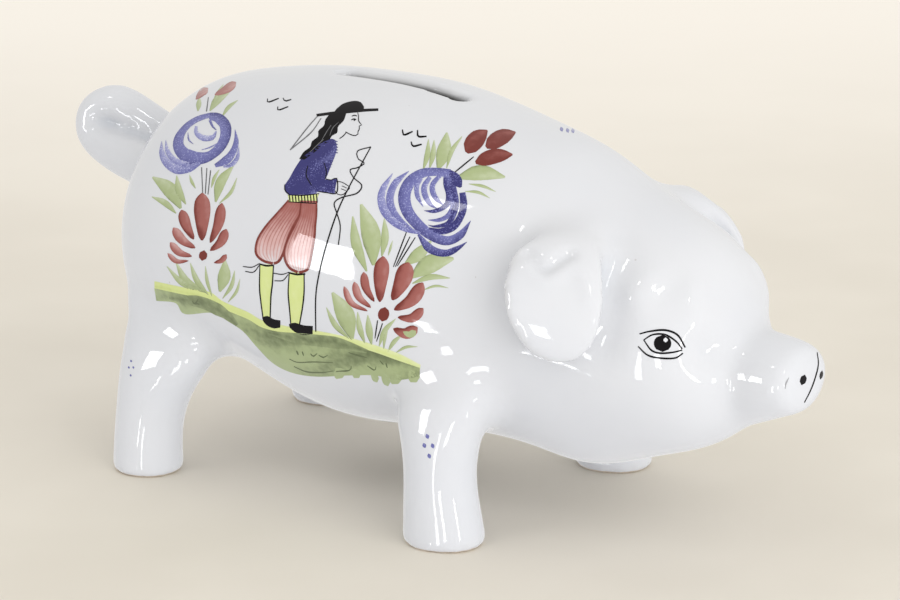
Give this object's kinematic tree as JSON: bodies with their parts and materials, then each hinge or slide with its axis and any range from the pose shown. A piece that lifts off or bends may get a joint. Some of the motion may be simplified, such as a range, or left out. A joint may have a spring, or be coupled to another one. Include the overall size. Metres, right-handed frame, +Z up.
{
  "type": "piggy bank",
  "caption": "Hollow glazed earthenware pig on short legs, with a coin slot along its back and a rubber stopper that pulls down out of its belly.",
  "frame": {"origin": "on the ground under the centre of the bank's outline", "axes": "+X along the bank towards the snout, +Y to the pig's own left, +Z up"},
  "size_m": [0.2393, 0.098, 0.1088],
  "materials": {
    "glaze": "gloss",
    "rubber": "matte"
  },
  "bodies": {
    "bank": {"body_shell": "glaze", "leg_front_left": "glaze", "leg_front_right": "glaze", "leg_rear_left": "glaze", "leg_rear_right": "glaze", "ear_left": "glaze", "ear_right": "glaze", "tail": "glaze"},
    "stopper": {"belly_stopper": "rubber"}
  },
  "joints": [
    {"name": "stopper_pull", "type": "slide", "parent": "bank", "child": "stopper", "axis": [0, 0, -1], "range_m": [0, 0.0165]}
  ]
}
